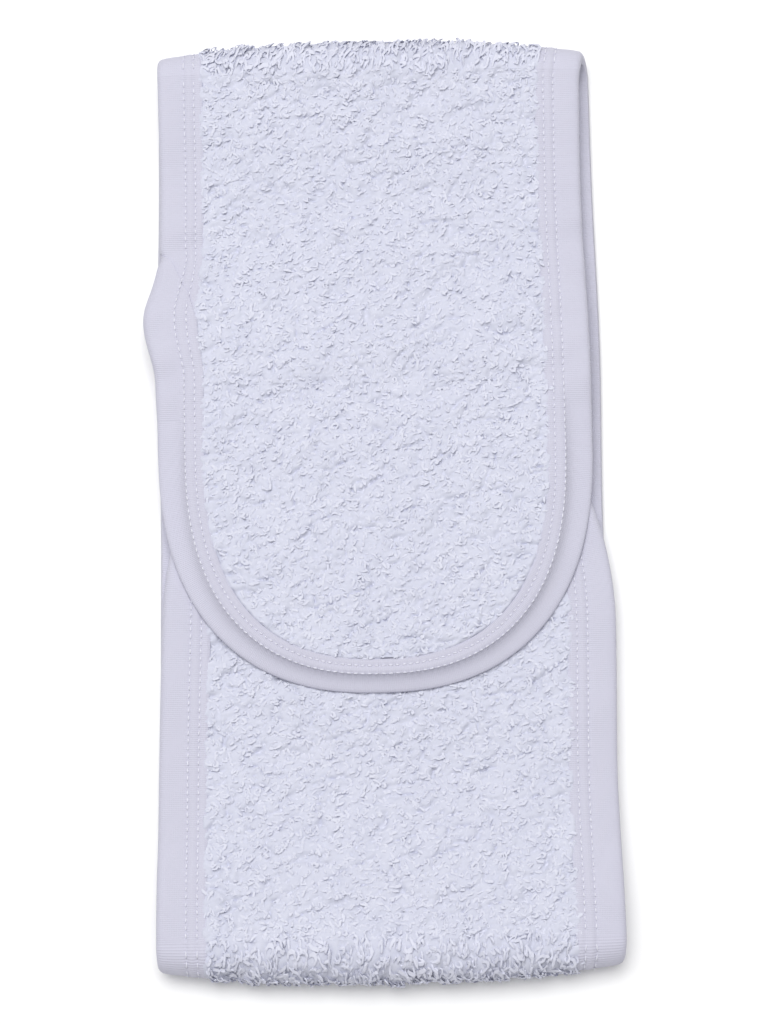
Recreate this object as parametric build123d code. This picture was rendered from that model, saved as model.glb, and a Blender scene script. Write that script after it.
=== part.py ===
from build123d import *
import math
import os

# A towelling spa headband, folded in three like a letter: the middle panel lies lowest, the end panel
# is folded over it from the bottom fold, and the front flap is folded over both from the top fold.
# +X runs across the band, +Y along it towards the top fold, and +Z up. The origin is under the middle.

# The band
BAND_WIDTH = 115.0
FOLDED_LENGTH = 240.0
PLY = 4.5  # one panel's thickness, with its loops
PLY_GAP = 0.3  # air between panels that lie on each other
FLAP_TIP_Y = -51.0
END_TIP_Y = 30.0
TIP_DEPTH = 65.0  # length of the rounded end, from where the sides begin to curve
TIP_ROUNDNESS = 2.4  # superellipse exponent: 2 is an ellipse, and more is squarer
TIP_STEPS = 12  # points of the curve on each side of the tip

# The binding tape and its two rows of stitches: distances in from the band's edge, on the straight
# sides and at the tips, where the tape is stretched narrower
TAPE = 0.8
BINDING_THICKNESS = 4.0
TAPE_GRIP = (12.3, 8.2)
OUTER_ROW = (7.3, 4.4)
INNER_ROW = (10.0, 6.5)
THREAD_WIDTH = 0.5
THREAD_HEIGHT = 0.2

# The lapped join of the tape, on the flap's left edge
JOIN_THICKNESS = 0.45
JOIN_TOP = (64.0, 44.0)  # y at the edge and y at the tape's inner side: the lap is cut on the slant
JOIN_BOTTOM = (42.0, 37.0)
JOIN_STITCHES = (43.0, 55.0)

# How the panels lie
DIP_DEPTH = 2.5  # the flap sinks behind the end panel's tip
DIP_LENGTH = 78.0
STEP_LENGTH = 45.0  # the end panel comes down onto the middle panel over this length
PEEL_Y = FLAP_TIP_Y + TIP_DEPTH  # the flap's tip bends along this line when it is peeled open
PEEL_GAP = 0.3

# The hook and loop pads
PAD_RECESS = 1.3
PAD_THICKNESS = 1.1
PAD_CORNER = 4.0
PAD_SEAM_INSET = 2.0
HOOK_SIZE = (50.0, 38.0)
HOOK_Y = -18.0
LOOP_SIZE = (50.0, 55.0)
LOOP_Y = -13.0

HALF_WIDTH = BAND_WIDTH / 2
HEIGHT = 3 * PLY + 2 * PLY_GAP
FOLD_RADIUS = HEIGHT / 2  # outer radius of each fold
FOLD_Y = FOLDED_LENGTH / 2 - FOLD_RADIUS
LOW, HIGH = PLY / 2, HEIGHT - PLY / 2  # mid-heights of the lowest and highest panels
RESTING = LOW + PLY + PLY_GAP  # mid-height of the end panel where it lies on the middle panel
CORE = (-PLY / 2, PLY / 2)
BINDING = (-BINDING_THICKNESS / 2, BINDING_THICKNESS / 2)
HEM = (BINDING[0] + TAPE, BINDING[1] - TAPE)  # the cloth's flattened edge inside the folded tape
THREADS = ((BINDING[1], BINDING[1] + THREAD_HEIGHT), (BINDING[0] - THREAD_HEIGHT, BINDING[0]))


def step(mark, length, turn):
    """Moves a (y, z, heading) mark along an arc of this length that turns by this many degrees."""
    y, z, heading = mark
    half = math.radians(turn) / 2
    chord = length * (math.sin(half) / half if half else 1)
    way = math.radians(heading) + half
    return y + chord * math.cos(way), z + chord * math.sin(way), heading + turn


def trace(start, runs):
    """Marks at the ends and in the middle of each (length, turn) run of a panel's mid-line."""
    marks = [start]
    for length, turn in runs:
        marks.append(step(marks[-1], length / 2, turn / 2))
        marks.append(step(marks[-1], length / 2, turn / 2))
    return marks


def beside(marks, offset):
    """The mid-line moved sideways by an offset, as lines and arcs in the YZ plane."""
    points = []
    for y, z, heading in marks:
        way = math.radians(heading)
        points.append(Vector(0, y - offset * math.sin(way), z + offset * math.cos(way)))
    edges = []
    for i in range(0, len(points) - 1, 2):
        a, middle, b = points[i : i + 3]
        bent = marks[i][2] != marks[i + 2][2]
        edges.append(ThreePointArc(a, middle, b) if bent else Line(a, b))
    return edges


def ribbon(marks, offsets, across):
    """The slab between two offsets from a mid-line, over a range of X."""
    lower, upper = beside(marks, offsets[0]), beside(marks, offsets[1])
    ends = [Line(lower[0] @ 0, upper[0] @ 0), Line(lower[-1] @ 1, upper[-1] @ 1)]
    face = Face(Wire([*lower, *ends, *upper]))
    slab = extrude(face, amount=across[1] - across[0], dir=(1, 0, 0))
    return Pos(across[0], 0, 0) * slab


def s_bend(length, drop):
    """Two equal arcs that shift a mid-line sideways by a drop and leave it heading as it was."""
    angle = 2 * math.atan(drop / length)
    radius = length / 2 / math.sin(angle)
    turn = math.degrees(angle)
    return [(radius * angle, -turn), (radius * angle, turn)]


def tip_points(tip_y, way, inset):
    """Points round the superellipse end, moved in by the side inset and, at the tip, the tip inset."""
    side, tip = inset
    base_y = tip_y - way * TIP_DEPTH
    points = []
    for i in range(-TIP_STEPS, TIP_STEPS + 1):
        angle = math.pi / 2 * i / TIP_STEPS
        s, c = math.sin(angle), max(math.cos(angle), 0)
        reach = (abs(s) / HALF_WIDTH) ** TIP_ROUNDNESS + (c / TIP_DEPTH) ** TIP_ROUNDNESS
        radius = reach ** (-1 / TIP_ROUNDNESS)
        x, along = radius * s, radius * c
        nx = math.copysign(abs(x) ** (TIP_ROUNDNESS - 1), x) / HALF_WIDTH**TIP_ROUNDNESS
        ny = along ** (TIP_ROUNDNESS - 1) / TIP_DEPTH**TIP_ROUNDNESS
        move = (side + (tip - side) * c * c) / math.hypot(nx, ny)
        points.append(Vector(x - nx * move, base_y + way * (along - ny * move), 0))
    return points


def rounded_plan(tip_y, way, inset=(0, 0)):
    """An upright prism over a plan with a rounded tip and long straight sides behind it."""
    points = tip_points(tip_y, way, inset)
    curve = Spline(*points, tangents=[(0, way, 0), (0, -way, 0)])
    left, right = points[0], points[-1]
    root_y = tip_y - way * FOLDED_LENGTH
    corners = [Vector(left.X, root_y, 0), Vector(right.X, root_y, 0)]
    sides = [Line(corners[0], left), Line(right, corners[1]), Line(corners[1], corners[0])]
    face = Face(Wire([curve, *sides]))
    return extrude(face, amount=HEIGHT, dir=(0, 0, 1))


def edge_range(side, near, far):
    """The X range between two distances in from the left (-1) or right (1) edge."""
    return sorted((side * (HALF_WIDTH - near), side * (HALF_WIDTH - far)))


def straight_towelling(marks):
    """Towelling with parallel sides, flattened at each edge where the tape grips it."""
    core = HALF_WIDTH - TAPE_GRIP[0]
    hem = HALF_WIDTH - TAPE
    return ribbon(marks, CORE, (-core, core)) + ribbon(marks, HEM, (-hem, hem))


def straight_binding(marks, side):
    """The tape, folded over one straight edge."""
    tape = ribbon(marks, BINDING, edge_range(side, 0, TAPE_GRIP[0]))
    return tape - ribbon(marks, HEM, edge_range(side, TAPE, TAPE_GRIP[0] + 1))


def straight_stitching(marks, side):
    """Both rows of stitches along one straight edge, on both faces."""
    rows = []
    for row in (OUTER_ROW, INNER_ROW):
        across = edge_range(side, row[0] - THREAD_WIDTH / 2, row[0] + THREAD_WIDTH / 2)
        rows += [ribbon(marks, height, across) for height in THREADS]
    return Compound(rows)


def rounded_towelling(marks, tip_y, way):
    """Towelling with one rounded end, flattened all round where the tape grips it."""
    full = (-HALF_WIDTH, HALF_WIDTH)
    core = ribbon(marks, CORE, full) & rounded_plan(tip_y, way, TAPE_GRIP)
    hem = ribbon(marks, HEM, full) & rounded_plan(tip_y, way, (TAPE, TAPE))
    return core + hem


def rounded_binding(marks, tip_y, way):
    """The tape, folded over both sides and round the tip."""
    full = (-HALF_WIDTH, HALF_WIDTH)
    tape = ribbon(marks, BINDING, full) & rounded_plan(tip_y, way)
    hem = ribbon(marks, HEM, full) & rounded_plan(tip_y, way, (TAPE, TAPE))
    return tape - rounded_plan(tip_y, way, TAPE_GRIP) - hem


def rounded_row(marks, tip_y, way, row):
    """One row of stitches round a rounded end, on both faces."""
    half = THREAD_WIDTH / 2
    outside = rounded_plan(tip_y, way, [inset - half for inset in row])
    inside = rounded_plan(tip_y, way, [inset + half for inset in row])
    full = (-HALF_WIDTH, HALF_WIDTH)
    lines = [(ribbon(marks, height, full) & outside) - inside for height in THREADS]
    return Compound([solid for line in lines for solid in line.solids()])


def pad_block(size, y, low, high, inset=0):
    """A rectangular block with rounded corners, between two heights."""
    plan = RectangleRounded(size[0] - 2 * inset, size[1] - 2 * inset, PAD_CORNER - inset)
    return Pos(0, y, low) * extrude(plan, amount=high - low)


def pad_seam(size, y, low, high):
    """The line of stitches round a pad."""
    half = THREAD_WIDTH / 2
    outside = pad_block(size, y, low, high, PAD_SEAM_INSET - half)
    return outside - pad_block(size, y, low, high, PAD_SEAM_INSET + half)


def join_plan():
    """An upright prism over the slanted lap of the tape."""
    edge, inner = -HALF_WIDTH, -(HALF_WIDTH - TAPE_GRIP[0] + JOIN_THICKNESS)
    corners = [(edge, JOIN_TOP[0]), (inner, JOIN_TOP[1]), (inner, JOIN_BOTTOM[1]), (edge, JOIN_BOTTOM[0])]
    return extrude(make_face(Polyline(*corners, close=True)), amount=HEIGHT)


def binding_join(marks):
    """The tape's end, lapped over its start and folded round the edge."""
    inner = -(HALF_WIDTH - TAPE_GRIP[0] + JOIN_THICKNESS)
    lap = ribbon(marks, CORE, (-HALF_WIDTH, inner))
    under = (CORE[0] + JOIN_THICKNESS, CORE[1] - JOIN_THICKNESS)
    return (lap - ribbon(marks, under, (-HALF_WIDTH + JOIN_THICKNESS, inner))) & join_plan()


def join_stitching(marks):
    """The two rows of stitches over the lap, on the upper face."""
    height = (CORE[1], CORE[1] + THREAD_HEIGHT / 2)
    length = JOIN_STITCHES[1] - JOIN_STITCHES[0]
    middle = sum(JOIN_STITCHES) / 2
    stretch = Pos(0, middle, HEIGHT / 2) * Box(2 * BAND_WIDTH, length, 2 * HEIGHT)
    rows = []
    for row in (OUTER_ROW, INNER_ROW):
        across = edge_range(-1, row[0] - THREAD_WIDTH / 2, row[0] + THREAD_WIDTH / 2)
        rows.append((ribbon(marks, height, across) & stretch).solid())
    return Compound(rows)


def straight_nodes(name, marks):
    """The pieces of a stretch with parallel sides."""
    nodes = {f"{name}_towelling": straight_towelling(marks)}
    for side, word in ((-1, "left"), (1, "right")):
        nodes[f"{name}_binding_{word}"] = straight_binding(marks, side)
        nodes[f"{name}_stitching_{word}"] = straight_stitching(marks, side)
    return nodes


def rounded_nodes(name, marks, tip_y, way):
    """The pieces of a stretch with a rounded tip."""
    return {
        f"{name}_towelling": rounded_towelling(marks, tip_y, way),
        f"{name}_binding": rounded_binding(marks, tip_y, way),
        f"{name}_stitching_outer": rounded_row(marks, tip_y, way, OUTER_ROW),
        f"{name}_stitching_inner": rounded_row(marks, tip_y, way, INNER_ROW),
    }


def flap_nodes():
    """The front flap above the peel line, with the tape's join on its left edge."""
    flat = FOLD_Y - DIP_LENGTH - PEEL_Y - PEEL_GAP / 2
    down = s_bend(DIP_LENGTH / 2, -DIP_DEPTH)
    up = s_bend(DIP_LENGTH / 2, DIP_DEPTH)
    marks = trace((FOLD_Y, HIGH, 180), [*down, *up, (flat, 0)])
    upside_up = [(y, z, heading - 180) for y, z, heading in marks]
    nodes = straight_nodes("flap", upside_up)
    join = binding_join(upside_up)
    nodes["binding_join"] = join
    nodes["join_stitching"] = join_stitching(upside_up)
    nodes["flap_binding_left"] -= join
    stitches = [solid for row in nodes["flap_stitching_left"].solids() for solid in (row - join).solids()]
    nodes["flap_stitching_left"] = Compound(stitches)
    return nodes


def tip_nodes():
    """The flap's rounded tip, which peels open, with the hook pad under it."""
    root_y = PEEL_Y - PEEL_GAP / 2
    marks = trace((root_y, HIGH, 180), [(root_y - FLAP_TIP_Y, 0)])
    upside_up = [(y, z, heading - 180) for y, z, heading in marks]
    nodes = rounded_nodes("tip", upside_up, FLAP_TIP_Y, -1)
    under = HIGH - PLY / 2
    nodes["tip_towelling"] -= pad_block(HOOK_SIZE, HOOK_Y, under, under + PAD_RECESS)
    face = under + PAD_RECESS - PAD_THICKNESS
    nodes["hook_pad"] = pad_block(HOOK_SIZE, HOOK_Y, face, under + PAD_RECESS)
    nodes["hook_pad_stitching"] = pad_seam(HOOK_SIZE, HOOK_Y, face - THREAD_HEIGHT / 2, face)
    return nodes


def end_nodes():
    """The end panel, which steps down from the bottom fold, with the loop pad on its upper face."""
    lying = END_TIP_Y + FOLD_Y - STEP_LENGTH
    marks = trace((-FOLD_Y, HIGH, 0), [*s_bend(STEP_LENGTH, HIGH - RESTING), (lying, 0)])
    nodes = rounded_nodes("end", marks, END_TIP_Y, 1)
    top = RESTING + PLY / 2
    nodes["end_towelling"] -= pad_block(LOOP_SIZE, LOOP_Y, top - PAD_RECESS, top)
    face = top - PAD_RECESS + PAD_THICKNESS
    nodes["loop_pad"] = pad_block(LOOP_SIZE, LOOP_Y, top - PAD_RECESS, face)
    nodes["loop_pad_stitching"] = pad_seam(LOOP_SIZE, LOOP_Y, face, face + THREAD_HEIGHT / 2)
    return nodes


def fold_nodes(name, y, heading):
    """One half-round fold, which joins the middle panel to the panel above it."""
    marks = trace((y, LOW, heading), [(math.pi * (FOLD_RADIUS - PLY / 2), 180 if heading == 0 else -180)])
    return straight_nodes(name, marks)


def all_nodes():
    """Every piece of the headband, by name."""
    middle = trace((-FOLD_Y, LOW, 0), [(2 * FOLD_Y, 0)])
    return {
        **straight_nodes("middle", middle),
        **fold_nodes("top_fold", FOLD_Y, 0),
        **fold_nodes("bottom_fold", -FOLD_Y, 180),
        **flap_nodes(),
        **tip_nodes(),
        **end_nodes(),
    }


os.makedirs("parts", exist_ok=True)
for name, shape in all_nodes().items():
    export_step(shape, f"parts/{name}.step")
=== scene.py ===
import math
import bmesh
import bpy
import numpy as np
from mathutils import Matrix, Vector


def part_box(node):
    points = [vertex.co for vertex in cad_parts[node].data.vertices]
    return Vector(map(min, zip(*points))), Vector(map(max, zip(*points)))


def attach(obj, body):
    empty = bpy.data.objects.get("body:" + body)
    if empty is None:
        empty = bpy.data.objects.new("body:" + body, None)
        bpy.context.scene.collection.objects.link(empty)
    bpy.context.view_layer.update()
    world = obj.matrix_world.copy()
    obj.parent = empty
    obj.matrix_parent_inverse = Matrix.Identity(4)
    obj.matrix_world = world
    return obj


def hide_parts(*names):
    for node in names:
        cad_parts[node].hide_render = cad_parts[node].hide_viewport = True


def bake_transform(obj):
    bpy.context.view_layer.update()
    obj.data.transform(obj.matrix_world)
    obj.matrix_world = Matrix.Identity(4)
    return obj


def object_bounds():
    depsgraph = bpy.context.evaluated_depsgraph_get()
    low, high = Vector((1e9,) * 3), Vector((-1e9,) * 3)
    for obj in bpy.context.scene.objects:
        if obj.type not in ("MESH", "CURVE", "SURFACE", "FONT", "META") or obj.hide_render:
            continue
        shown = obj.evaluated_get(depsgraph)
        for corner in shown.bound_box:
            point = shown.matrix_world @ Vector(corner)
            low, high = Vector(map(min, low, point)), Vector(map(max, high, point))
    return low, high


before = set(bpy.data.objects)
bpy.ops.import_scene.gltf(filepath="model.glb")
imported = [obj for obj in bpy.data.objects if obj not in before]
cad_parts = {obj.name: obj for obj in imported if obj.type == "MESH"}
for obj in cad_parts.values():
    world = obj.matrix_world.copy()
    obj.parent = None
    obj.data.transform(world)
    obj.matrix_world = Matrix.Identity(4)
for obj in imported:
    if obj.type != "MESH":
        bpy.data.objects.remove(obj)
cad_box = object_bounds()

# A towelling spa headband, folded in three. The band is thought of as laid flat: "across" runs over its
# width, "along" from the flap's tip to the end panel's tip, and "height" off the middle of its thickness,
# positive on the face that is outermost all the way round. lay() folds those places up into the frame.

MM = 0.001
X, Y, Z = 0, 1, 2

# ---------------------------------------------------------------- sizes from the frame


def reach(node, axis):
    """A node's lowest and highest coordinate along an axis."""
    low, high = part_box(node)
    return low[axis], high[axis]


HALF_WIDTH = reach("middle_binding_right", X)[1]
FOLD_Y = reach("middle_towelling", Y)[1]
PLY = reach("middle_towelling", Z)[1]
STACK = cad_box[1][Z]
FLAP_TIP_Y = reach("tip_binding", Y)[0]
END_TIP_Y = reach("end_binding", Y)[1]
PEEL_Y = (reach("tip_towelling", Y)[1] + reach("flap_towelling", Y)[0]) / 2
TIP_DEPTH = PEEL_Y - FLAP_TIP_Y
TIP_ROUNDNESS = 2.4
HIGH = STACK - PLY / 2  # mid-height of the highest panel
RESTING = reach("end_towelling", Z)[0] + PLY / 2
DIP_DEPTH = reach("tip_towelling", Z)[0] - reach("flap_towelling", Z)[0]
DIP_LENGTH = 78 * MM
STEP_LENGTH = 45 * MM
FOLD_BEND = math.pi * (STACK - PLY) / 2
TAPE_GRIP = (12.3 * MM, 8.2 * MM)  # distances in from the edge: on the sides and at the tips
OUTER_ROW = (7.3 * MM, 4.4 * MM)
INNER_ROW = (10.0 * MM, 6.5 * MM)
STITCH_PITCH = 1.9 * MM
RIB_PITCH = 0.5 * MM
GRAIN = math.radians(22)  # the tufts lie along this slant

# ---------------------------------------------------------------- the folded band


def s_bend(length, drop):
    """Two equal arcs that shift the line sideways and leave it heading as it was: (length, turn)."""
    angle = 2 * math.atan(drop / length)
    arc = length / 2 / math.sin(angle) * angle
    return [(arc, -angle), (arc, angle)]


class MidLine:
    """The middle of the band's thickness, seen from the side, as straight and round runs."""

    def __init__(self, y, z, heading, runs):
        self.starts, self.rates, self.marks = [0.0], [], [(y, z, heading)]
        for length, turn in runs:
            self.rates.append(turn / length)
            y, z, heading = self.marks[-1]
            chord = length * math.sin(turn / 2) / (turn / 2) if turn else length
            way = heading + turn / 2
            self.marks.append((y + chord * math.cos(way), z + chord * math.sin(way), heading + turn))
            self.starts.append(self.starts[-1] + length)
        self.length = self.starts[-1]
        self.starts, self.rates = np.array(self.starts), np.array(self.rates)
        self.marks = np.array(self.marks)

    def at(self, along):
        """y, z and heading at distances along the line. It runs on straight past its ends."""
        run = np.clip(np.searchsorted(self.starts, along, side="right") - 1, 0, len(self.rates) - 1)
        step = along - self.starts[run]
        half = self.rates[run] * step / 2
        chord = step * np.sinc(half / math.pi)
        y, z, heading = self.marks[run].T
        way = heading + half
        return y + chord * np.cos(way), z + chord * np.sin(way), heading + 2 * half


flap_flat = FOLD_Y - DIP_LENGTH - FLAP_TIP_Y
dip = s_bend(DIP_LENGTH / 2, DIP_DEPTH) + s_bend(DIP_LENGTH / 2, -DIP_DEPTH)
step_down = s_bend(STEP_LENGTH, HIGH - RESTING)
lying = END_TIP_Y + FOLD_Y - STEP_LENGTH
half_turn = [(FOLD_BEND, -math.pi)]
LINE = MidLine(FLAP_TIP_Y, HIGH, 0, [
    (flap_flat, 0), *dip, *half_turn, (2 * FOLD_Y, 0), *half_turn, *step_down, (lying, 0),
])
TOP_FOLD, MIDDLE, BOTTOM_FOLD, END = (LINE.starts[i] for i in (5, 6, 7, 8))
LENGTH = LINE.length


def smooth(a, b, value):
    """0 before a, 1 after b, and an even rise between."""
    t = np.clip((value - a) / (b - a), 0, 1)
    return t * t * (3 - 2 * t)


def dent(distance, width):
    """1 at no distance, falling off smoothly over the width."""
    return np.exp(-((distance / width) ** 2))


def ripple(across, along, seed, size, slant=0.0, stretch=1.0):
    """A smooth uneven field, mostly between -1 and 1. Its hills are about size wide, and longer by stretch
    along the slant."""
    rng = np.random.default_rng(seed)
    cos, sin = math.cos(slant), math.sin(slant)
    one, other = (across * cos + along * sin) / stretch, along * cos - across * sin
    total = 0
    for _ in range(9):
        angle = rng.uniform(0, math.pi)
        wave = 2 * math.pi / (size * rng.uniform(1.2, 3.2))
        total = total + np.sin(wave * (one * math.cos(angle) + other * math.sin(angle)) + rng.uniform(0, 6.3))
    return total / 3.6


def knobs(across, along, seed):
    """The rounded tops of the loops, about 1 mm apart and longer along the grain: 1 on top and 0 between."""
    cos, sin = math.cos(GRAIN), math.sin(GRAIN)
    u = (across * cos + along * sin) / (1.7 * MM)
    v = (along * cos - across * sin) / (1.05 * MM)
    nearest = np.full(np.shape(u), 9.0)
    for du in (-1, 0, 1):
        for dv in (-1, 0, 1):
            cell_u, cell_v = np.floor(u) + du, np.floor(v) + dv
            mix = np.sin(cell_u * 12.9898 + cell_v * 78.233 + seed) * 43758.5453
            jog_u, jog_v = mix % 1, (mix * 7.31) % 1
            gap = (cell_u + jog_u - u) ** 2 + (cell_v + jog_v - v) ** 2
            nearest = np.minimum(nearest, gap)
    return np.clip(1 - nearest / 0.6, 0, 1)


JOIN = 98 * MM  # where along the flap's left edge the tape is joined, and bulges most
JOIN_REACH = 17 * MM


def sideways(across, along):
    """How the soft edges wander as the band lies: the flap is slimmer, and bulges at the tape's join."""
    on_flap = 1 - smooth(TOP_FOLD - 4 * MM, MIDDLE, along)
    on_end = smooth(BOTTOM_FOLD, END, along)
    near_edge = (np.abs(across) / HALF_WIDTH) ** 4 * np.sign(across)
    wobble = (0.35 * np.sin(along / (31 * MM)) + 0.2 * np.sin(along / (13 * MM) + 1)) * MM * near_edge
    t = np.clip((along - JOIN) / JOIN_REACH, -1, 1)
    bulge = 3.2 * MM * np.cos(t * math.pi / 2) ** 2 * smooth(0.55, 1.0, -across / HALF_WIDTH)
    notch = 0.9 * MM * dent(along - JOIN - JOIN_REACH, 1.6 * MM) * smooth(0.8, 1.0, -across / HALF_WIDTH)
    drift = -1.35 * MM * on_flap + (0.3 + 1.1 * smooth(END + 35 * MM, END + 90 * MM, along)) * MM * on_end
    return across * (1 - 0.031 * on_flap + 0.006 * on_end) + drift + wobble - bulge + notch


def rumple(across, along):
    """How far the cloth lies off its even line, the same on both faces."""
    on_flap = smooth(20 * MM, 50 * MM, along) * (1 - smooth(TOP_FOLD - 20 * MM, TOP_FOLD, along))
    middle = smooth(60 * MM, 80 * MM, along) * (1 - smooth(120 * MM, 140 * MM, along))
    wrinkles = 0.6 * middle * ripple(across, along, 5, 8 * MM, 0.35, 2.2)
    flap = 0.3 * ripple(across, along, 3, 17 * MM) + wrinkles
    on_end = smooth(END + 6 * MM, END + 20 * MM, along) * (1 - smooth(LENGTH - 20 * MM, LENGTH, along))
    return MM * (flap * on_flap + 0.3 * on_end * ripple(across, along, 8, 15 * MM))


DROOP = 1.95 * MM  # how far the tape hangs down round the flap's tip, and over what width it gets there
DROOP_WIDTH = 1.4 * MM
TIP_LOOSE = (50 * MM, 92 * MM)  # the tape hangs loose up to the first, and lies flat past the second


def flap_droop(across, along):
    """How far the thin outer part of the tape hangs down from the stitches, round the flap's tip."""
    back = np.maximum(TIP_DEPTH - along, 0)
    across = np.maximum(np.abs(across), 0.01 * MM)
    dist = np.hypot(across, back)
    ratio = (across / HALF_WIDTH) ** TIP_ROUNDNESS + (back / TIP_DEPTH) ** TIP_ROUNDNESS
    depth = dist * (ratio ** (-1 / TIP_ROUNDNESS) - 1)
    outer = OUTER_ROW[0] + (OUTER_ROW[1] - OUTER_ROW[0]) * (back / dist) ** 2
    loose = 1 - smooth(*TIP_LOOSE, along)
    return DROOP * loose * (1 - np.exp(-np.maximum(outer - depth, 0) / DROOP_WIDTH))


FOLD_PLUMP = 3.3 * MM
FOLD_PLUMP_LENGTH = 9 * MM


def fold_arch(across, along):
    """How far the plump cloth stands out past the tape, round the two folds."""
    share = np.clip(np.abs(across) / HALF_WIDTH, 0, 1)
    round_top = dent(along - (TOP_FOLD + MIDDLE) / 2, FOLD_PLUMP_LENGTH)
    round_bottom = dent(along - (BOTTOM_FOLD + END) / 2, FOLD_PLUMP_LENGTH)
    return FOLD_PLUMP * (1 - share**2.6) * (round_top + round_bottom)


PRESSED = 0.7 * MM  # the cloth's underside is pressed flat within this height of the floor


def lay(across, along, height):
    """Places on the flat band, as points in the frame."""
    y, z, heading = LINE.at(along)
    height = height + rumple(across, along) + fold_arch(across, along) - flap_droop(across, along)
    z = z + height * np.cos(heading)
    z = np.where(z < PRESSED, PRESSED * np.exp(np.minimum(z / PRESSED - 1, 0)), z)
    return np.column_stack((sideways(across, along), y - height * np.sin(heading), z))


# ---------------------------------------------------------------- shader nodes


class Value:
    """A socket that takes arithmetic, and adds the Math nodes for it."""

    def __init__(self, nodes, socket):
        self.nodes, self.socket = nodes, socket

    def _math(self, operation, *values):
        return self.nodes.add("ShaderNodeMath", {"operation": operation}, *values)

    def __add__(self, other):
        return self._math("ADD", self, other)

    def __sub__(self, other):
        return self._math("SUBTRACT", self, other)

    def __rsub__(self, other):
        return self._math("SUBTRACT", other, self)

    def __mul__(self, other):
        return self._math("MULTIPLY", self, other)

    __radd__, __rmul__ = __add__, __mul__

    def sine(self):
        return self._math("SINE", self)

    def clamped(self):
        return self.nodes.add("ShaderNodeClamp", {}, self)


class Finish:
    """One material, and the one method that adds a node to it."""

    def __init__(self, name):
        self.material = bpy.data.materials.new(name)
        self.material.use_nodes = True
        self.tree = self.material.node_tree
        self.shader = self.tree.nodes["Principled BSDF"]

    def add(self, kind, settings, *values, out=0, **named):
        node = self.tree.nodes.new(kind)
        for key, value in settings.items():
            setattr(node, key, value)
        for key, value in [*enumerate(values), *named.items()]:
            self.feed(node.inputs[key], value)
        return Value(self, node.outputs[out])

    def feed(self, socket, value):
        if isinstance(value, Value):
            self.tree.links.new(value.socket, socket)
        else:
            socket.default_value = value

    def place(self):
        return self.add("ShaderNodeTexCoord", {}, out="Object")

    def uv(self):
        """The piece's own map, in millimetres: x along the edge and y in from it."""
        split = self.add("ShaderNodeSeparateXYZ", {}, self.add("ShaderNodeTexCoord", {}, out="UV"))
        return split, Value(self, split.socket.node.outputs["Y"])

    def noise(self, scale, detail=2.0, roughness=0.5, stretch=None, slant=0.0):
        place = self.place()
        if stretch:
            place = self.add("ShaderNodeMapping", {}, place, Rotation=(0, 0, -slant))
            place = self.add("ShaderNodeMapping", {}, place, Scale=stretch)
        named = {"Scale": scale, "Detail": detail, "Roughness": roughness}
        return self.add("ShaderNodeTexNoise", {}, Vector=place, **named)

    def between(self, share, one, other):
        """A colour between two, by a share."""
        node = self.tree.nodes.new("ShaderNodeMix")
        node.data_type = "RGBA"
        self.feed(node.inputs[0], share)
        self.feed(node.inputs[6], one)
        self.feed(node.inputs[7], other)
        return Value(self, node.outputs[2])

    def surface(self, colour, roughness, sheen=0.0, bump=None, depth=0.0001, strength=1.0):
        self.feed(self.shader.inputs["Base Color"], colour)
        self.feed(self.shader.inputs["Roughness"], roughness)
        self.shader.inputs["Specular IOR Level"].default_value = 0.25
        self.shader.inputs["Sheen Weight"].default_value = sheen
        self.shader.inputs["Sheen Roughness"].default_value = 0.5
        if bump is not None:
            node = self.add("ShaderNodeBump", {}, Strength=strength, Distance=depth, Height=bump)
            self.feed(self.shader.inputs["Normal"], node)
        return self.material


def cotton(name, low, high):
    """Looped cotton yarn: soft white with a cool cast, ruffled along the tufts' slant."""
    finish = Finish(name)
    patches = finish.noise(160, 3)
    ruffle = finish.noise(900, 3, 0.6, (0.55, 1, 1), GRAIN)
    fibres = finish.noise(4200, 2, 0.7)
    tone = (patches * 1.2 + ruffle * 0.8 - 0.5).clamped()
    colour = finish.between(tone, (*low, 1), (*high, 1))
    relief = ruffle + fibres * 0.35
    return finish.surface(colour, 0.86 + 0.1 * fibres, 0.1, relief, 0.00014, 0.6)


def jersey_tape():
    """The binding's fine knit: ribs across the tape, and a soft mottle."""
    finish = Finish("jersey_tape")
    along, inward = finish.uv()
    ribs = (along * (2 * math.pi / (RIB_PITCH / MM))).sine() * 0.5 + 0.5
    knit = (inward * (2 * math.pi / 0.55)).sine() * 0.5 + 0.5
    fuzz = finish.noise(2600, 2, 0.6)
    mottle = finish.noise(90, 2)
    shade = (mottle * 0.7 + ribs * 0.4 - 0.1).clamped()
    colour = finish.between(shade, (0.565, 0.56, 0.665, 1), (0.60, 0.595, 0.70, 1))
    relief = ribs * 0.8 + knit * ribs * 0.25 + fuzz * 0.3
    return finish.surface(colour, 0.78 + 0.14 * fuzz, 0.15, relief, 0.00008)


def sewing_thread():
    """White sewing thread, a little glossier than the cloth, with its ply twist."""
    finish = Finish("sewing_thread")
    twist = finish.noise(3000, 1, 0.5, (1, 0.4, 1))
    colour = finish.between(twist, (0.70, 0.70, 0.79, 1), (0.80, 0.80, 0.88, 1))
    return finish.surface(colour, 0.5 + 0.2 * twist, 0.1, twist, 0.00006)


def nylon(name, low, high, scale):
    """The woven nylon of the fastening pads."""
    finish = Finish(name)
    weave = finish.add("ShaderNodeTexVoronoi", {}, Vector=finish.place(), Scale=scale)
    colour = finish.between(weave, (*high, 1), (*low, 1))
    return finish.surface(colour, 0.45 + 0.25 * weave, 0.05, 1 - weave, 0.0002)


# ---------------------------------------------------------------- making pieces


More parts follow.
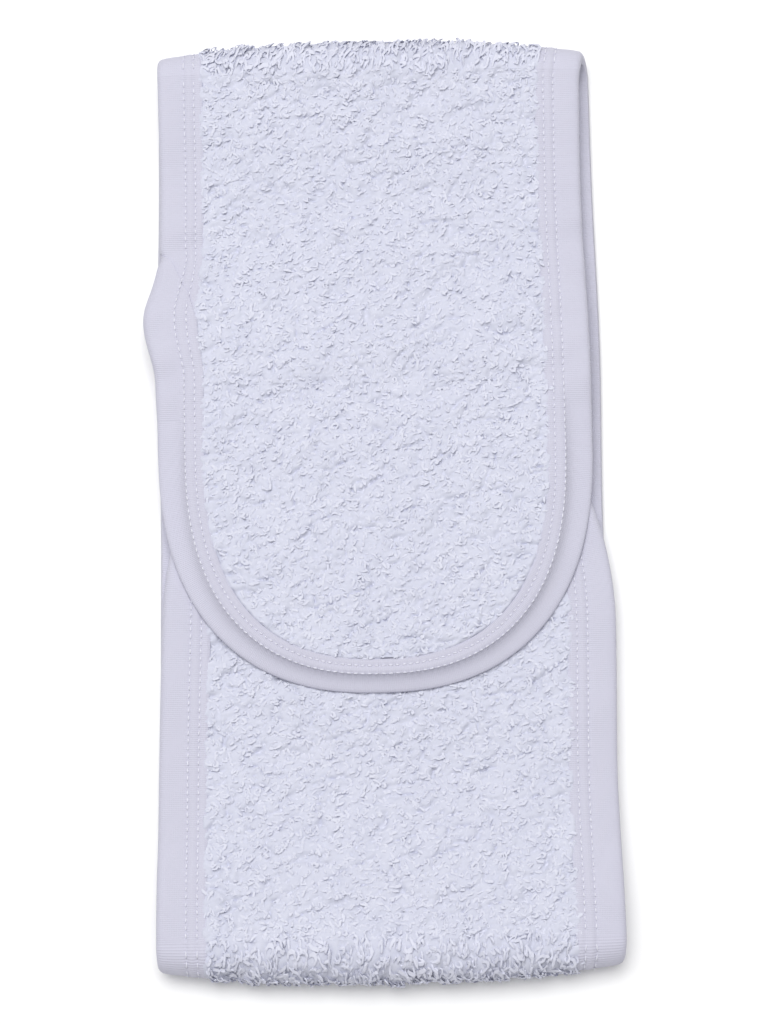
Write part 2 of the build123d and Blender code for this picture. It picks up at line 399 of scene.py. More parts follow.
def as_piece(mesh, name, finish, nodes=()):
    """A mesh as a shown piece with its finish; the CAD nodes that it stands for are hidden."""
    mesh.materials.append(finish)
    mesh.shade_smooth()
    piece = bpy.data.objects.new(name, mesh)
    bpy.context.scene.collection.objects.link(piece)
    if nodes:
        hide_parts(*nodes)
    return piece


def corners_of(mesh):
    """A mesh's vertex places as rows."""
    places = np.empty(len(mesh.vertices) * 3)
    mesh.vertices.foreach_get("co", places)
    return places.reshape(-1, 3)


def outward(mesh):
    """Turns a mesh's faces outwards."""
    bm = bmesh.new()
    bm.from_mesh(mesh)
    bmesh.ops.recalc_face_normals(bm, faces=bm.faces[:])
    bm.to_mesh(mesh)
    bm.free()


def bend_flap(piece):
    """Flap and tip: bakes the piece's place into its mesh; no bend along the peel line is made here."""
    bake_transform(piece)


def bend_top(piece):
    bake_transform(piece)


def bend_bottom(piece):
    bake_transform(piece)


def ride_middle(piece):
    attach(piece, "middle_panel")


def ride_end(piece):
    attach(piece, "end_panel")


def half_width_at(from_tip, inset=(0, 0)):
    """The rounded end's half width at distances from its tip, moved in by side and tip insets."""
    back = np.clip((TIP_DEPTH - from_tip) / (TIP_DEPTH - inset[1]), 0, 1)
    return (HALF_WIDTH - inset[0]) * (1 - back**TIP_ROUNDNESS) ** (1 / TIP_ROUNDNESS)


def width_at(along, inset=(0, 0)):
    """The band's half width anywhere along it."""
    return np.minimum(half_width_at(along, inset), half_width_at(LENGTH - along, inset))


# The band's cloth: name, where it starts and ends along the band, the grid that it is made on, how it moves,
# the CAD towelling that it stands for, and what it lies on
CLOTHS = [
    ("flap_tip", 0, 80 * MM, 0.5 * MM, bend_flap, ["tip_towelling"], ["end_cloth"]),
    ("flap", 80 * MM, TOP_FOLD, 0.5 * MM, bend_flap, ["flap_towelling"], ["end_cloth"]),
    ("top_fold", TOP_FOLD, MIDDLE, 0.6 * MM, bend_top, ["top_fold_towelling"], ["middle_cloth"]),
    ("middle", MIDDLE, BOTTOM_FOLD, 1.2 * MM, ride_middle, ["middle_towelling"], []),
    ("bottom_fold", BOTTOM_FOLD, END, 0.6 * MM, bend_bottom, ["bottom_fold_towelling"], ["middle_cloth"]),
    ("end", END, END + 85 * MM, 0.5 * MM, ride_end, ["end_towelling"], ["middle_cloth"]),
    ("end_tip", END + 85 * MM, LENGTH, 1.0 * MM, ride_end, [], ["middle_cloth"]),
]
HEM = 1.5 * MM  # the cloth stops this far inside the band's edge, in the fold of the tape
GROUND = 0.4 * MM  # half the cloth's thickness where the tape grips it
MAT = 1.62 * MM  # how high the matted feet of the loops stand off the middle


def furrow(across, along, side):
    """1 in the short wandering partings between tufts of loops, and 0 on the tufts."""
    wide = ripple(across, along, 21 + side, 4.2 * MM, GRAIN, 1.9)
    narrow = ripple(across, along, 31 + side, 2.3 * MM, GRAIN, 1.6)
    here = smooth(-0.5, 0.6, ripple(across, along, 61 + side, 3.6 * MM, GRAIN, 1.3))
    there = smooth(-0.5, 0.6, ripple(across, along, 71 + side, 3.6 * MM, GRAIN, 1.3))
    return np.maximum(here * dent(wide, 0.2), 0.8 * there * dent(narrow, 0.17))


def mat_height(across, along, side):
    """The matted surface under the loops' tops: hills of tufts, parted by furrows."""
    width = width_at(along, TAPE_GRIP)
    bare = smooth(-2.2 * MM, -0.7 * MM, width - np.abs(across)) * (width > 0)
    hills = 0.3 * MM * ripple(across, along, 41 + side, 3.0 * MM, GRAIN, 1.5)
    tops = 0.62 * MM * knobs(across, along, side) - 0.95 * MM * furrow(across, along, side)
    return GROUND + bare * (MAT - GROUND + hills + tops)


def towelling(name, start, stop, cell, nodes, finish):
    """One stretch of the towelling, between the edges of the tape, as a closed sheet with matted faces."""
    first = max(start, HEM + 0.1 * MM)
    last = min(stop, LENGTH - HEM - 0.1 * MM)
    columns, rows = round(2 * HALF_WIDTH / cell), round((last - first) / cell)
    bm = bmesh.new()
    bmesh.ops.create_grid(bm, x_segments=columns, y_segments=rows, size=1)
    bmesh.ops.solidify(bm, geom=bm.faces[:], thickness=1)
    mesh = bpy.data.meshes.new(name)
    bm.to_mesh(mesh)
    bm.free()
    share, along, level = corners_of(mesh).T
    along = first + (last - first) * (along + 1) / 2
    across = share * width_at(along, (HEM, HEM))
    side = np.where(level > (level.max() + level.min()) / 2, 1, -1)
    height = np.where(side > 0, mat_height(across, along, 1), -mat_height(across, along, -1))
    mesh.vertices.foreach_set("co", lay(across, along, height).ravel())
    outward(mesh)
    piece = as_piece(mesh, name, finish, nodes)
    mesh.set_sharp_from_angle(angle=math.radians(70))
    return piece


# ---------------------------------------------------------------- the looped pile


def tube(middle_at, thick_at, rings, sides):
    """A bent tube, open at its ends. middle_at and thick_at give its place and radius at shares 0 to 1."""
    bm = bmesh.new()
    bmesh.ops.create_circle(bm, segments=sides, radius=1)
    edges = bm.edges[:]
    for _ in range(rings):
        grown = bmesh.ops.extrude_edge_only(bm, edges=edges)["geom"]
        edges = [g for g in grown if isinstance(g, bmesh.types.BMEdge)]
        bmesh.ops.translate(bm, verts=[g for g in grown if isinstance(g, bmesh.types.BMVert)], vec=(0, 0, 1))
    for vertex in bm.verts:
        t = vertex.co.z / rings
        way = (middle_at(t + 0.01) - middle_at(t - 0.01)).normalized()
        outwards = way.cross(Vector((0, 1, 0))).normalized()
        beside = way.cross(outwards)
        vertex.co = middle_at(t) + thick_at(t) * (vertex.co.x * outwards + vertex.co.y * beside)
    bmesh.ops.recalc_face_normals(bm, faces=bm.faces[:])
    mesh = bpy.data.meshes.new("tube")
    bm.to_mesh(mesh)
    bm.free()
    return mesh


def yarn_loop(seed, thick, rings, sides=3):
    """One loop of yarn, a unit high and standing on the origin."""
    rng = np.random.default_rng(seed)
    foot, lean = rng.uniform(0.16, 0.32), rng.normal(0, 0.25)
    curl, bow = rng.normal(0, 0.4), rng.uniform(0.2, 0.7)

    def middle_at(t):
        swing = math.pi * t
        high = max(math.sin(swing), 0)
        return Vector((
            -foot * math.cos(swing) * (1 + bow * high) + lean * high**2,
            curl * high * math.cos(swing) * 1.2,
            0.95 * high**0.8 - 0.05,
        ))

    return tube(middle_at, lambda t: thick * (1 + 0.3 * math.sin(math.pi * t)), rings, sides)


def nylon_hook():
    """One hook of the fastening, a unit high: a stem that bends over and down."""
    def middle_at(t):
        turn = math.pi * 1.25 * max(t - 0.4, 0) / 0.6
        return Vector((0.28 * (1 - math.cos(turn)), 0, 0.7 * min(t / 0.4, 1) + 0.28 * math.sin(turn)))

    return tube(middle_at, lambda t: 0.09 * (1 - 0.3 * t), 7, 4)


def copies(shapes, choice, place):
    """One mesh of many copies: choice says which shape each copy is, and place() sets their points."""
    points, corners, base = [], [], 0
    for number, shape in enumerate(shapes):
        picked = np.flatnonzero(choice == number)
        template = corners_of(shape)
        quads = np.empty(len(shape.loops), int)
        shape.loops.foreach_get("vertex_index", quads)
        points.append(place(template, picked).reshape(-1, 3))
        offsets = base + np.arange(len(picked)) * len(template)
        corners.append((offsets[:, None] + quads).ravel())
        base += len(picked) * len(template)
    points, corners = np.concatenate(points), np.concatenate(corners)
    mesh = bpy.data.meshes.new("copies")
    mesh.vertices.add(len(points))
    mesh.vertices.foreach_set("co", points.ravel())
    mesh.loops.add(len(corners))
    mesh.loops.foreach_set("vertex_index", corners)
    mesh.polygons.add(len(corners) // 4)
    mesh.polygons.foreach_set("loop_start", np.arange(0, len(corners), 4))
    mesh.update(calc_edges=True)
    return mesh


SHORT_LOOPS = [yarn_loop(seed, 0.17, 5) for seed in range(12)]
LONG_LOOPS = [yarn_loop(seed, 0.12, 7) for seed in range(20, 36)]
HIDDEN_LOOPS = [yarn_loop(seed, 0.2, 4) for seed in range(8)]
LESS_THAN = 190_000  # triangles in one piece


def grow(name, shapes, round_shaded, across, along, foot, height, width, nap, lie, side,
         bend, finish, slot, rng):
    """Copies of the shapes that stand on a face, each turned at random and laid over by its nap."""
    count = len(across)
    choice = rng.integers(0, len(shapes), count)
    turn = rng.uniform(0, 2 * math.pi, count)
    slope_x, slope_y = nap * np.cos(lie), nap * np.sin(lie)
    triangles = count * 2 * max(len(shape.polygons) for shape in shapes)
    made = []
    for part in np.array_split(np.arange(count), math.ceil(triangles / LESS_THAN)):

        def place(template, picked):
            at = part[picked][:, None]
            x, y, z = (template[:, i][None] for i in range(3))
            cos, sin = np.cos(turn[at]), np.sin(turn[at])
            over = np.clip(z, 0, 1.2) ** 1.6
            flat_x = across[at] + width[at] * (x * cos - y * sin) + over * slope_x[at]
            flat_y = along[at] + width[at] * (x * sin + y * cos) + over * slope_y[at]
            up = side * (foot[at] + z * height[at])
            return lay(flat_x.ravel(), flat_y.ravel(), up.ravel())

        mesh = copies(shapes, choice[part], place)
        mesh.name = f"{name}_{len(made) + 1}"
        if side < 0:
            mesh.flip_normals()
        made.append(as_piece(mesh, mesh.name, finish))
        if not round_shaded:
            mesh.shade_flat()
        bend(made[-1])
    return made


def strewn(rng, per_cm2, across, along):
    """Uneven places within a span across and a span along the band."""
    pitch = 10 * MM / math.sqrt(per_cm2)
    x, y = (a.ravel() for a in np.meshgrid(np.arange(*across, pitch), np.arange(*along, pitch)))
    x, y = (a + pitch / 2 + rng.normal(0, 0.33 * pitch, len(a)) for a in (x, y))
    inside = (x > across[0]) & (x < across[1]) & (y > along[0]) & (y < along[1])
    return x[inside], y[inside]


def pile(name, start, stop, side, per_cm2, tall, wide, shapes, sunk, bend, finish, seed):
    """The loops on one face of a stretch. side is 1 on the outer face and -1 on the inner one."""
    rng = np.random.default_rng(seed)
    across, along = strewn(rng, per_cm2, (-HALF_WIDTH, HALF_WIDTH), (start, stop))
    inside = np.abs(across) < width_at(along, [grip - 0.4 * MM for grip in TAPE_GRIP])
    for low, high, pad_side in PAD_PLACES:
        covered = (np.abs(across) < high[0]) & (along > low[1]) & (along < high[1])
        inside &= ~covered | (side != pad_side)
    across, along = across[inside], along[inside]
    count = len(across)
    height = tall * rng.uniform(0.7, 1.2, count) * (1 - 0.35 * furrow(across, along, side))
    width = wide * rng.uniform(0.75, 1.25, count)
    lie = GRAIN + 0.45 * ripple(across, along, 51 + side, 9 * MM) + rng.normal(0, 0.8, count)
    nap = width * rng.uniform(0.3, 0.9, count)
    foot = mat_height(across, along, side) - sunk * MM
    places = across, along, foot, height, width, nap, lie, side
    return grow(name, shapes, False, *places, bend, finish, "towelling", rng)


def pad_place(node, side):
    """A pad's lowest and highest corner as across, along and height, and the face that it is on."""
    low, high = (np.array(corner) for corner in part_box(node))
    line = LENGTH - END_TIP_Y if side > 0 else -FLAP_TIP_Y
    level = RESTING if side > 0 else HIGH
    shift = np.array((0, line, -level))
    return low + shift, high + shift, side


PAD_PLACES = [pad_place("hook_pad", -1), pad_place("loop_pad", 1)]


def rounded(x, y):
    """Moves places on a square from -1 to 1 so that its corners are round."""
    size = np.maximum((np.abs(x) ** 12 + np.abs(y) ** 12) ** (1 / 12), 1e-9)
    fit = np.maximum(np.abs(x), np.abs(y)) / size
    return x * fit, y * fit


def pad(name, place, body, slot, finish, hair_name, shapes, per_cm2, tall, thread, seed):
    """A fastening pad: its woven backing, its hooks or loops, and the stitches round its rim."""
    low, high, side = place
    middle, half = (low + high) / 2, (high - low) / 2

    def ride(piece):
        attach(piece, body)

    bm = bmesh.new()
    bmesh.ops.create_grid(bm, x_segments=30, y_segments=30, size=1)
    bmesh.ops.solidify(bm, geom=bm.faces[:], thickness=1)
    mesh = bpy.data.meshes.new(name)
    bm.to_mesh(mesh)
    bm.free()
    x, y, level = corners_of(mesh).T
    level = np.where(level > (level.max() + level.min()) / 2, 1, -1)
    rim = smooth(0.93, 1.0, np.maximum(np.abs(x), np.abs(y)))
    round_x, round_y = rounded(x, y)
    height = middle[2] + half[2] * level * (1 - 0.4 * rim)
    across, along = middle[0] + half[0] * round_x, middle[1] + half[1] * round_y
    mesh.vertices.foreach_set("co", lay(across, along, height).ravel())
    outward(mesh)
    ride(as_piece(mesh, name, finish, [name]))

    rng = np.random.default_rng(seed)
    face = side * middle[2] + half[2]
    clear = 3 * MM  # the hooks or loops stop this far inside the rim
    across, along = strewn(rng, per_cm2, (low[0] + clear, high[0] - clear), (low[1] + clear, high[1] - clear))
    even = np.ones(len(across))
    height = tall * rng.uniform(0.85, 1.1, len(across))
    lie = rng.uniform(0, 2 * math.pi, len(across))
    foot = (face - 0.05 * MM) * even
    places = across, along, foot, height, height, 0.3 * height, lie, side
    grow(hair_name, shapes, True, *places, ride, finish, slot, rng)

    turn = np.arange(0, 2 * math.pi, 2 * math.pi / 400)
    size = np.maximum(np.abs(np.cos(turn)), np.abs(np.sin(turn)))
    path = np.stack(rounded(np.cos(turn) / size, np.sin(turn) / size), 1) * (half[:2] - 2 * MM) + middle[:2]
    path = np.concatenate((path, path[:1]))
    gone = np.concatenate(([0], np.cumsum(np.hypot(*np.diff(path, axis=0).T))))
    run = np.linspace(0, gone[-1], round(gone[-1] / STITCH_PITCH), endpoint=False)[:, None]

    def sew(template, picked):
        x, y, z = (template[:, i][None] * 0.75 * STITCH_PITCH for i in range(3))
        at, ahead = ((run[picked] + d) % gone[-1] for d in (0, 0.1 * MM))
        here, there = (np.stack([np.interp(a, gone, path[:, i]) for i in (0, 1)]) for a in (at, ahead))
        way = (there - here) / np.hypot(*(there - here))
        up = side * (face + 0.06 * MM + z) + 0 * way[0]
        flat_x = here[0] + x * way[0] - y * way[1]
        flat_y = here[1] + x * way[1] + y * way[0]
        return lay(flat_x.ravel(), flat_y.ravel(), up.ravel())

    mesh = copies([STITCH], np.zeros(len(run), int), sew)
    mesh.name = f"{name}_stitches"
    outward(mesh)
    ride(as_piece(mesh, mesh.name, thread, [f"{name}_stitching"]))


# ---------------------------------------------------------------- the binding tape


class Edge:
    """Even stations along part of the band's outline: places, ways in, and how near to a tip."""

    def __init__(self, across, along, at_tip, step):
        length = np.concatenate(([0], np.cumsum(np.hypot(np.diff(across), np.diff(along)))))
        count = max(2, round(length[-1] / step))
        self.run = np.linspace(0, length[-1], count + 1)
        self.across = np.interp(self.run, length, across)
        self.along = np.interp(self.run, length, along)
        self.at_tip = np.interp(self.run, length, at_tip)
        way_x, way_y = np.gradient(self.across), np.gradient(self.along)
        size = np.hypot(way_x, way_y)
        self.in_x, self.in_y = way_y / size, -way_x / size

    def inset(self, pair, run):
        """A distance in from the edge that differs between the sides and the tip."""
        return pair[0] + (pair[1] - pair[0]) * np.interp(run, self.run, self.at_tip)

    def place(self, run, depth):
        """Across and along at a distance in from the edge."""
        known = self.across, self.along, self.in_x, self.in_y
        x, y, in_x, in_y = (np.interp(run, self.run, a) for a in known)
        return x + in_x * depth, y + in_y * depth


def side_edge(side, start, stop, step):
    """One straight side of the band, walked so that the cloth is on its right."""
    along = np.array((start, stop) if side < 0 else (stop, start))
    return Edge(np.full(2, side * HALF_WIDTH), along, np.zeros(2), step)


def tip_edge(root, step, far=False):
    """Up the left side from the root, round the tip and down the right side; far is the end panel's."""
    angle = np.linspace(-math.pi / 2, math.pi / 2, 241)
    s, c = np.sin(angle), np.clip(np.cos(angle), 0, 1)
    size = (np.abs(s) / HALF_WIDTH) ** TIP_ROUNDNESS + (c / TIP_DEPTH) ** TIP_ROUNDNESS
    size = size ** (-1 / TIP_ROUNDNESS)
    across = np.concatenate(([-HALF_WIDTH], size * s, [HALF_WIDTH]))
    along = np.concatenate(([root], TIP_DEPTH - size * c, [root]))
    at_tip = np.concatenate(([0], c * c, [0]))
    if far:
        return Edge(across, LENGTH - along, at_tip, step)
    return Edge(-across, along, at_tip, step)


TAPE_HALF = 2.0 * MM
LINING = 0.5 * MM  # half the gap inside the folded tape, which holds the ground's edge


def crowded(counts):
    """Shares 0 to 3 (band's edge, outer row, inner row, tape's free edge), crowded round each of them."""
    shares = [k + (1 - math.cos(math.pi * i / n)) / 2 for k, n in enumerate(counts) for i in range(n)]
    return np.array([*shares, 3.0])


FACE, BACK = crowded((11, 8, 6)), crowded((6, 4, 3))
SECTION = np.concatenate((FACE[::-1], BACK[1:], (2.8, 1.5, 0.3, 0.3, 1.5, 2.8)))
FACING = np.repeat((1, 0, -1, -1, 1), (len(FACE) - 1, 1, len(BACK) - 1, 3, 3))
LINED = np.arange(len(SECTION)) >= len(SECTION) - 6


def tape_height(edge, run, depth):
    """The tape's height off the middle, at distances in from the edge, with a pucker at each needle hole."""
    grip, outer, inner = (edge.inset(pair, run) for pair in (TAPE_GRIP, OUTER_ROW, INNER_ROW))
    hole = 0.65 - 0.35 * np.cos(2 * math.pi * run / STITCH_PITCH)
    plump = 1 + 0.25 * ripple(run, 0, 11, 14 * MM)
    _, along = edge.place(run, depth)
    flange = TAPE_HALF - (0.15 + 1.1 * (1 - smooth(*TIP_LOOSE, along))) * MM
    near = np.clip(1 - depth / (1.6 * MM), 0, 1)
    height = flange + (TAPE_HALF - flange) * np.exp(-np.maximum(outer - depth, 0) / (1.2 * MM))
    height = height * (1 - near**2.2) ** (1 / 2.2)
    height = height + 0.12 * MM * plump * dent(depth - 0.5 * outer, 0.3 * outer)
    height = height - 0.42 * MM * hole * dent(depth - outer, 0.5 * MM)
    height = height - 0.36 * MM * hole * dent(depth - inner, 0.5 * MM)
    height = height + 0.12 * MM * dent(depth - (outer + inner) / 2, 0.7 * MM)
    return height - 0.35 * MM * smooth(grip - 0.6 * MM, grip, depth)


def tape(name, edge, bend, nodes, finish):
    """The tape folded over a run of the edge, as a closed shell, with a map in millimetres."""
    stations, columns = len(edge.run), len(SECTION)
    bm = bmesh.new()
    bmesh.ops.create_grid(bm, x_segments=stations - 1, y_segments=columns, size=1)
    mesh = bpy.data.meshes.new(name)
    bm.to_mesh(mesh)
    flat = corners_of(mesh)
    run = edge.run[np.rint((flat[:, 0] + 1) / 2 * (stations - 1)).astype(int)]
    column = np.rint((flat[:, 1] + 1) / 2 * columns).astype(int) % columns
    marks = np.array([edge.inset(pair, run) for pair in (OUTER_ROW, INNER_ROW, TAPE_GRIP)])
    marks = np.concatenate((np.zeros((1, len(run))), marks))
    share = SECTION[column]
    below = np.minimum(share.astype(int), 2)
    at = np.arange(len(run))
    depth = marks[below, at] + (share - below) * (marks[below + 1, at] - marks[below, at])
    height = np.where(LINED[column], LINING, tape_height(edge, run, depth)) * FACING[column]
    across, along = edge.place(run, depth)
    mesh.vertices.foreach_set("co", lay(across, along, height).ravel())
    owner = np.empty(len(mesh.loops), int)
    mesh.loops.foreach_get("vertex_index", owner)
    chart = mesh.uv_layers.new(name="cloth")
    chart.data.foreach_set("uv", np.column_stack((run, depth))[owner].ravel() / MM)
    bm.free()
    bm = bmesh.new()
    bm.from_mesh(mesh)
    bmesh.ops.remove_doubles(bm, verts=bm.verts[:], dist=1e-7)
    bmesh.ops.holes_fill(bm, edges=[e for e in bm.edges if e.is_boundary], sides=0)
    bmesh.ops.recalc_face_normals(bm, faces=bm.faces[:])
    bm.to_mesh(mesh)
    bm.free()
    piece = as_piece(mesh, name, finish, nodes)
    mesh.set_sharp_from_angle(angle=math.radians(50))
    bend(piece)
    return piece


# The tape's end is lapped over its start on the flap's left edge. It is cut on a slant: distances in from
# the edge, and where along the band the cut is there. Its rows of stitches start a little further on.
LAP_DEPTHS = np.array((0, 3.6, 7.3, 10.4, 12.3)) * MM
LAP_CUT = JOIN + np.array((18, 15.5, 10, 5.6, -1)) * MM
LAP_ROWS = JOIN + np.array((9.5, 4.5)) * MM
LAP_END = TIP_DEPTH + 2 * MM
LAP = 0.5 * MM


def lap_lift(along):
    """How far the lapped tape stands off the tape under it, until it sinks into it."""
    return LAP * (1.2 * smooth(LAP_END, LAP_END + 16 * MM, along) - 0.2)


def lap(name, edge, bend, nodes, finish):
    """The lapped end of the tape, as a closed shell that wraps round the flap's edge."""
    shares = np.concatenate((-FACE[1:8][::-1], FACE))
    bm = bmesh.new()
    bmesh.ops.create_grid(bm, x_segments=90, y_segments=len(shares) - 1, size=1)
    bmesh.ops.solidify(bm, geom=bm.faces[:], thickness=1)
    mesh = bpy.data.meshes.new(name)
    bm.to_mesh(mesh)
    bm.free()
    u, v, level = corners_of(mesh).T
    top = level > (level.max() + level.min()) / 2
    share = shares[np.rint((v + 1) / 2 * (len(shares) - 1)).astype(int)]
    row_depths = (0, OUTER_ROW[0], INNER_ROW[0], TAPE_GRIP[0])
    cut = np.interp(np.interp(np.abs(share), range(4), row_depths), LAP_DEPTHS, LAP_CUT)
    along = LAP_END + (cut - LAP_END) * (u + 1) / 2
    run = edge.run[-1] - (TOP_FOLD - along)

    def section(share):
        depth = np.interp(np.abs(share), range(4), row_depths)
        return depth, np.sign(share) * tape_height(edge, run, depth)

    depth, height = section(share)
    (depth_a, height_a), (depth_b, height_b) = section(share - 0.015), section(share + 0.015)
    out_depth, out_height = height_a - height_b, depth_b - depth_a
    size = np.hypot(out_depth, out_height)
    lift = np.where(top, lap_lift(along), -0.25 * MM)
    depth, height = depth + lift * out_depth / size, height + lift * out_height / size
    mesh.vertices.foreach_set("co", lay(depth - HALF_WIDTH, along, height).ravel())
    owner = np.empty(len(mesh.loops), int)
    mesh.loops.foreach_get("vertex_index", owner)
    chart = mesh.uv_layers.new(name="cloth")
    chart.data.foreach_set("uv", np.column_stack((run + 0.3 * MM, depth))[owner].ravel() / MM)
    outward(mesh)
    piece = as_piece(mesh, name, finish, nodes)
    mesh.set_sharp_from_angle(angle=math.radians(50))
    bend(piece)
    return piece


def stitch():
    """One stitch of thread as it shows between two needle holes, a unit long."""
    bm = bmesh.new()
    bmesh.ops.create_cube(bm, size=1)
    bmesh.ops.subdivide_edges(bm, edges=bm.edges[:], cuts=1, use_grid_fill=True)
    for vertex in bm.verts:
        x, y, z = vertex.co.normalized()
        vertex.co = (x / 2, 0.13 * y, 0.11 * z - 0.16 * x * x)
    mesh = bpy.data.meshes.new("stitch")
    bm.to_mesh(mesh)
    bm.free()
    return mesh


STITCH = stitch()


def seam(name, edge, bend, nodes, finish, seed, lapped=None):
    """Both rows of stitches along a run of the edge, on both faces. lapped is True for those that are on the
    tape's lapped end, and False for the rest of that seam."""
    rng = np.random.default_rng(seed)
    middles = np.arange(STITCH_PITCH, edge.run[-1] - STITCH_PITCH / 2, STITCH_PITCH)
    run, row, side = (a.ravel() for a in np.meshgrid(middles, (0, 1), (1, -1)))
    lift = 0
    if lapped is not None:
        across, along = edge.place(run, 0)
        on_lap = (across < 0) & (side > 0) & (along > LAP_END) & (along < LAP_ROWS[row])
        kept = on_lap == lapped
        run, row, side = run[kept], row[kept], side[kept]
        lift = np.maximum(lap_lift(along[kept]), 0) if lapped else 0
    depth = np.where(row == 0, edge.inset(OUTER_ROW, run), edge.inset(INNER_ROW, run))
    base = tape_height(edge, run, depth) + 0.16 * MM + lift
    length = STITCH_PITCH * rng.uniform(0.66, 0.8, len(run))
    skew = rng.normal(0, 0.09, len(run))

    def place(template, picked):
        x, y, z = (template[:, i][None] * length[picked][:, None] for i in range(3))
        tilt = skew[picked][:, None]
        across, along = edge.place(run[picked][:, None] + x, depth[picked][:, None] + y + x * tilt)
        height = (base[picked][:, None] + z) * side[picked][:, None]
        return lay(across.ravel(), along.ravel(), height.ravel())

    mesh = copies([STITCH], np.zeros(len(run), int), place)
    mesh.name = name
    outward(mesh)
    piece = as_piece(mesh, name, finish, nodes)
    bend(piece)
    return piece


# ---------------------------------------------------------------- putting the band together

mat_cotton = cotton("matted_cotton", (0.575, 0.59, 0.695), (0.635, 0.645, 0.745))
# Painted light: the fold crests' loops are painted lighter than the other loops, to offset the shade they
# cast on themselves.
fringe_cotton_painted_light = cotton("fringe_cotton_painted_light", (0.63, 0.64, 0.745), (0.71, 0.72, 0.82))
# Painted light: the loops are the same yarn as the mat but painted lighter, to offset the shade they cast on
# themselves.
loop_cotton_painted_light = cotton("looped_cotton_painted_light", (0.62, 0.63, 0.735), (0.70, 0.71, 0.80))
knit, thread = jersey_tape(), sewing_thread()
STATION = STITCH_PITCH / 4
flap_edge = tip_edge(TOP_FOLD, STATION)
end_edge = tip_edge(LENGTH - END, STATION, far=True)
on_stretch = {name: [] for name, *_ in CLOTHS}

# name, start, stop, face, loops on each cm2, their height, width and shapes, and how deep their feet
# are in the mat, in mm
OUT, IN = 1, -1
PILES = {
    "flap": [
        ("flap_pile", 0, TOP_FOLD, OUT, 55, 0.45 * MM, 1.3 * MM, SHORT_LOOPS, 0.12),
        ("flap_crest_pile", TOP_FOLD - 7 * MM, TOP_FOLD, OUT, 25, 0.4 * MM, 1.3 * MM, LONG_LOOPS, 0.2),
        ("flap_under_pile", 0, TOP_FOLD, IN, 16, 0.75 * MM, 1.8 * MM, HIDDEN_LOOPS, 0.3),
    ],
    "top_fold": [
        ("top_fold_pile", TOP_FOLD, MIDDLE, OUT, 70, 1.15 * MM, 1.9 * MM, LONG_LOOPS, 0.3),
        ("top_fold_inner_pile", TOP_FOLD, MIDDLE, IN, 14, 0.75 * MM, 1.8 * MM, HIDDEN_LOOPS, 0.3),
    ],
    "middle": [
        ("middle_under_pile", MIDDLE, BOTTOM_FOLD, OUT, 16, 0.7 * MM, 1.8 * MM, HIDDEN_LOOPS, 0.3),
        ("middle_upper_pile", MIDDLE, BOTTOM_FOLD, IN, 16, 0.75 * MM, 1.8 * MM, HIDDEN_LOOPS, 0.3),
    ],
    "bottom_fold": [
        ("bottom_fold_pile", BOTTOM_FOLD, END, OUT, 70, 1.15 * MM, 1.9 * MM, LONG_LOOPS, 0.3),
        ("bottom_fold_inner_pile", BOTTOM_FOLD, END, IN, 14, 0.75 * MM, 1.8 * MM, HIDDEN_LOOPS, 0.3),
    ],
    "end": [
        ("end_pile", END, END + 85 * MM, OUT, 55, 0.45 * MM, 1.3 * MM, SHORT_LOOPS, 0.12),
        ("end_crest_pile", END, END + 7 * MM, OUT, 25, 0.4 * MM, 1.3 * MM, LONG_LOOPS, 0.2),
        ("end_hidden_pile", END + 85 * MM, LENGTH, OUT, 16, 0.75 * MM, 1.8 * MM, HIDDEN_LOOPS, 0.3),
        ("end_under_pile", END, LENGTH, IN, 14, 0.75 * MM, 1.8 * MM, HIDDEN_LOOPS, 0.3),
    ],
}
for number, (name, _, _, _, bend, *_) in enumerate(CLOTHS):
    for seed, layer in enumerate(PILES.get(name, ())):
        # the fold crests' long loops take the finish with the most painted light
        painted_light_cotton = fringe_cotton_painted_light if layer[7] is LONG_LOOPS else loop_cotton_painted_light
        on_stretch[name] += pile(*layer, bend, painted_light_cotton, 100 + 10 * number + seed)

for name, edge, bend, nodes, rows in (
    ("flap", flap_edge, bend_flap, ["flap_binding_left", "flap_binding_right", "tip_binding"],
     ["flap_stitching_left", "flap_stitching_right", "tip_stitching_outer", "tip_stitching_inner"]),
    ("end", end_edge, ride_end, ["end_binding"], ["end_stitching_outer", "end_stitching_inner"]),
):
    on_stretch[name].append(tape(f"{name}_tape", edge, bend, nodes, knit))
    lapped = False if name == "flap" else None
    on_stretch[name].append(seam(f"{name}_stitches", edge, bend, rows, thread, 200, lapped))
on_stretch["flap"].append(lap("tape_join", flap_edge, bend_flap, ["binding_join"], knit))
on_stretch["flap"].append(
    seam("tape_join_stitches", flap_edge, bend_flap, ["join_stitching"], thread, 201, True)
)
for number, (name, start, stop, _, bend, *_) in enumerate(CLOTHS[2:5]):
    for side, word in ((-1, "left"), (1, "right")):
        edge = side_edge(side, start, stop, STATION)
        on_stretch[name] += [
            tape(f"{name}_tape_{word}", edge, bend, [f"{name}_binding_{word}"], knit),
            seam(f"{name}_stitches_{word}", edge, bend, [f"{name}_stitching_{word}"], thread, 210 + number),
        ]

hook_finish = nylon("hook_nylon", (0.72, 0.72, 0.78), (0.86, 0.86, 0.90), 1600.0)
loop_finish = nylon("loop_nylon", (0.74, 0.74, 0.80), (0.88, 0.88, 0.92), 1200.0)
hook_pad, loop_pad = PAD_PLACES
pad("hook_pad", hook_pad, "flap_tip", "hook_pad", hook_finish,
    "hooks", [nylon_hook()], 34, 0.55 * MM, thread, 300)
pad("loop_pad", loop_pad, "end_panel", "loop_pad", loop_finish,
    "nap_loops", LONG_LOOPS, 60, 0.6 * MM, thread, 301)

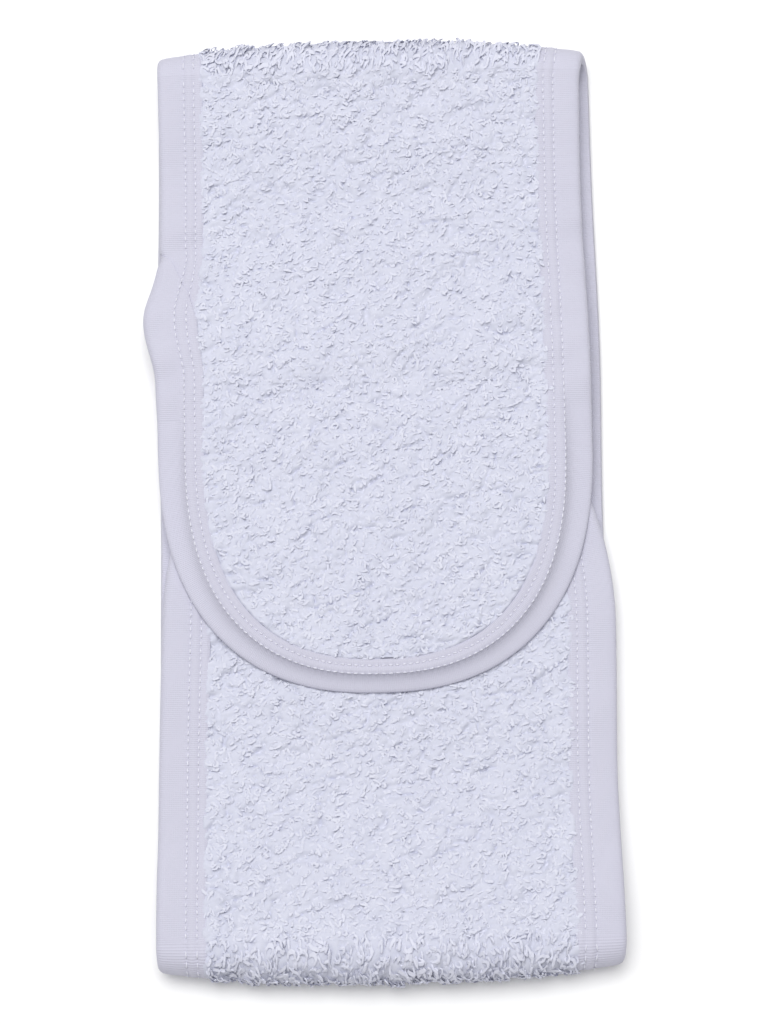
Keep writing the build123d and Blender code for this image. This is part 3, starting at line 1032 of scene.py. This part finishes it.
for name, start, stop, cell, bend, nodes, under in CLOTHS:
    cloth = towelling(f"{name}_cloth", start, stop, cell, nodes, mat_cotton)
    bend(cloth)
    places = np.linspace(start, stop, 400)
    middle = lay(0 * places, places, 0 * places)
    flat = 2 * (HALF_WIDTH - HEM), float(np.sum(np.hypot(*np.diff(middle[:, 1:], axis=0).T)))
    cut = float(np.mean(2 * width_at(places, (HEM, HEM)))) * flat[1]
    area = min(cut, flat[0] * flat[1])

# ---------------------------------------------------------------- floor, light and camera


def floor():
    finish = Finish("pale_floor")
    finish.surface((0.94, 0.94, 0.94, 1), 0.6 + 0.05 * finish.noise(3, 1))
    bm = bmesh.new()
    bmesh.ops.create_grid(bm, x_segments=1, y_segments=1, size=3)
    mesh = bpy.data.meshes.new("floor")
    bm.to_mesh(mesh)
    bm.free()
    mesh.materials.append(finish.material)
    piece = bpy.data.objects.new("floor", mesh)
    mesh.transform(Matrix.Translation((0, 0, -0.2 * MM)))
    bpy.context.scene.collection.objects.link(piece)


def soft_light(name, place, size, power):
    """A square soft box that faces the band."""
    lamp = bpy.data.lights.new(name, "AREA")
    lamp.size, lamp.energy = size, power
    box = bpy.data.objects.new(name, lamp)
    box.location = place
    box.rotation_euler = (-Vector(place)).to_track_quat("-Z", "Y").to_euler()
    bpy.context.scene.collection.objects.link(box)


def camera():
    """Above the band, a little towards its lower end."""
    lens = bpy.data.cameras.new("camera")
    lens.lens = 95.6
    eye = bpy.data.objects.new("camera", lens)
    tilt, roll, away = math.radians(11.25), math.radians(-1.14), 0.70
    aim = Vector((0.58 * MM, -3.77 * MM, STACK / 2))
    back = Vector((0, -math.sin(tilt), math.cos(tilt)))
    eye.location = aim + back * away
    eye.rotation_euler = (tilt, 0, 0)
    eye.rotation_euler.rotate_axis("Z", roll)
    bpy.context.scene.collection.objects.link(eye)
    bpy.context.scene.camera = eye


floor()
soft_light("key", (-0.12, 0.22, 1.28), 0.8, 13.8)
soft_light("fill", (0.1, 0.1, 1.5), 1.4, 2.1)
camera()
world = bpy.data.worlds.new("studio")
world.use_nodes = True
world.node_tree.nodes["Background"].inputs["Color"].default_value = (1, 1, 1, 1)
world.node_tree.nodes["Background"].inputs["Strength"].default_value = 0.4
bpy.context.scene.world = world
bpy.context.scene.view_settings.view_transform = "Standard"
